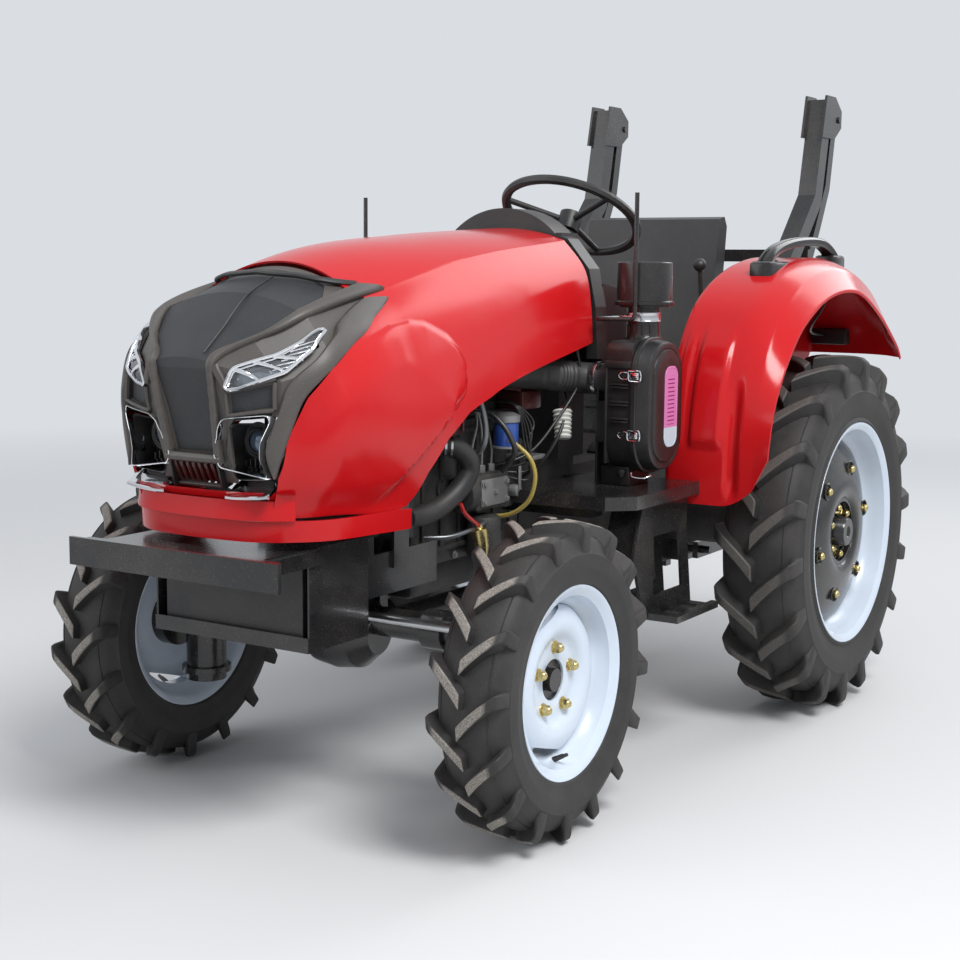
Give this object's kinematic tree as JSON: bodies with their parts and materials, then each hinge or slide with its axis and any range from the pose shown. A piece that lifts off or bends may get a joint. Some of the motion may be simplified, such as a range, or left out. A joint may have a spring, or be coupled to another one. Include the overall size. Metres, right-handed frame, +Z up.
{
  "type": "compact farm tractor",
  "caption": "Compact four-wheel-drive farm tractor with a red hood, grey nose mask, folding roll bar and three-point hitch",
  "frame": {"origin": "on the floor under the middle of the whole tractor", "axes": "+X to the tractor's left, +Y to its rear, +Z up"},
  "size_m": [1.558, 2.85, 1.872],
  "materials": {
    "red_paint": "bright red gloss",
    "grey_mask": "warm dark grey satin",
    "black_paint": "black gloss paint",
    "black_plastic": "black satin plastic",
    "rim_white": "bluish white gloss paint",
    "tyre": "black rubber",
    "hose_rubber": "black hose rubber",
    "black_mesh": "fine black mesh",
    "lamp_glass": "clear lamp glass",
    "red_lens": "red lamp lens",
    "seat_vinyl": "black vinyl",
    "cast_engine": "dark painted casting",
    "bare_steel": "zinc-plated steel"
  },
  "bodies": {
    "chassis": {"air_cleaner": "black_plastic", "battery": "black_plastic", "battery_box": "black_paint", "bumper": "black_paint", "dash_covers": "black_plastic", "dash_cowl": "black_plastic", "drive_shaft": "black_paint", "engine": "cast_engine", "engine_parts": "cast_engine", "exhaust": "bare_steel", "fan": "black_plastic", "fender_handles": "black_paint", "fender_left": "red_paint", "fender_right": "red_paint", "front_axle": "black_paint", "front_support": "black_paint", "hitch_frame": "black_paint", "hoses": "hose_rubber", "levers": "black_plastic", "marker_stalks": "black_paint", "pedals": "black_plastic", "platform_left": "black_paint", "platform_right": "black_paint", "radiator": "black_mesh", "rops_posts": "black_paint", "seat": "seat_vinyl", "seat_base": "black_paint", "tail_lamps": "red_lens", "transmission": "cast_engine"},
    "hood": {"hood_shell": "red_paint", "nose_mask": "grey_mask", "grille_mesh": "black_mesh", "grille_slats": "black_plastic", "headlamps": "lamp_glass", "hood_band": "red_paint"},
    "knuckle_l": {"knuckle_left": "black_paint"},
    "knuckle_r": {"knuckle_right": "black_paint"},
    "tie": {"tie_rod": "bare_steel"},
    "steer_wheel": {"steering_wheel": "black_plastic"},
    "wheel_fl": {"front_tyre_left": "tyre", "front_rim_left": "rim_white"},
    "wheel_fr": {"front_tyre_right": "tyre", "front_rim_right": "rim_white"},
    "wheel_rl": {"rear_tyre_left": "tyre", "rear_rim_left": "rim_white", "rear_disc_left": "black_paint"},
    "wheel_rr": {"rear_tyre_right": "tyre", "rear_rim_right": "rim_white", "rear_disc_right": "black_paint"},
    "hoop": {"rops_hoop": "black_paint"},
    "arms": {"lift_arms": "black_paint"},
    "rods": {"lift_rods": "bare_steel"},
    "links": {"lower_links": "black_paint"},
    "toplink": {"top_link": "bare_steel"}
  },
  "joints": [
    {"name": "hood_hinge", "type": "hinge", "parent": "chassis", "child": "hood", "pos_m": [0, -0.112, 1.394], "axis": [-1, 0, 0], "range_deg": [0, 50]},
    {"name": "steer_left", "type": "hinge", "parent": "chassis", "child": "knuckle_l", "pos_m": [0.46, -0.805, 0.37], "axis": [0, 0, 1], "range_deg": [-35, 35]},
    {"name": "steer_right", "type": "hinge", "parent": "chassis", "child": "knuckle_r", "pos_m": [-0.46, -0.805, 0.37], "axis": [0, 0, 1], "range_deg": [-35, 35]},
    {"name": "tie_rod_pin", "type": "hinge", "parent": "knuckle_l", "child": "tie", "pos_m": [0.46, -0.94, 0.49], "axis": [0, 0, 1], "range_deg": [-35, 35]},
    {"name": "steering_column", "type": "hinge", "parent": "chassis", "child": "steer_wheel", "pos_m": [0, 0.301, 1.455], "axis": [0, 0.5, 0.866], "range_deg": [-472.5, 472.5]},
    {"name": "spin_front_left", "type": "hinge", "parent": "knuckle_l", "child": "wheel_fl", "pos_m": [0.57, -0.805, 0.37], "axis": [1, 0, 0], "continuous": true},
    {"name": "spin_front_right", "type": "hinge", "parent": "knuckle_r", "child": "wheel_fr", "pos_m": [-0.57, -0.805, 0.37], "axis": [1, 0, 0], "continuous": true},
    {"name": "spin_rear_left", "type": "hinge", "parent": "chassis", "child": "wheel_rl", "pos_m": [0.659, 0.685, 0.527], "axis": [1, 0, 0], "continuous": true},
    {"name": "spin_rear_right", "type": "hinge", "parent": "chassis", "child": "wheel_rr", "pos_m": [-0.659, 0.685, 0.527], "axis": [1, 0, 0], "continuous": true},
    {"name": "hoop_hinge", "type": "hinge", "parent": "chassis", "child": "hoop", "pos_m": [0, 1.332, 1.8], "axis": [1, 0, 0], "range_deg": [0, 168]},
    {"name": "lift_shaft", "type": "hinge", "parent": "chassis", "child": "arms", "pos_m": [0, 0.785, 0.826], "axis": [1, 0, 0], "range_deg": [0, 40]},
    {"name": "lift_rod_pin", "type": "hinge", "parent": "arms", "child": "rods", "pos_m": [0, 1.015, 0.806], "axis": [1, 0, 0], "range_deg": [-40, 0]},
    {"name": "lower_link_pin", "type": "hinge", "parent": "chassis", "child": "links", "pos_m": [0, 0.715, 0.42], "axis": [1, 0, 0], "range_deg": [0, 23]},
    {"name": "top_link_pin", "type": "hinge", "parent": "chassis", "child": "toplink", "pos_m": [0, 0.985, 0.72], "axis": [-1, 0, 0], "range_deg": [0, 98]}
  ],
  "couplings": [
    {"joint": "steer_right", "follows": "steer_left", "ratio": 1},
    {"joint": "tie_rod_pin", "follows": "steer_left", "ratio": -1},
    {"joint": "steering_column", "follows": "steer_left", "ratio": 13.5},
    {"joint": "lower_link_pin", "follows": "lift_shaft", "ratio": 0.575},
    {"joint": "lift_rod_pin", "follows": "lift_shaft", "ratio": -1}
  ]
}
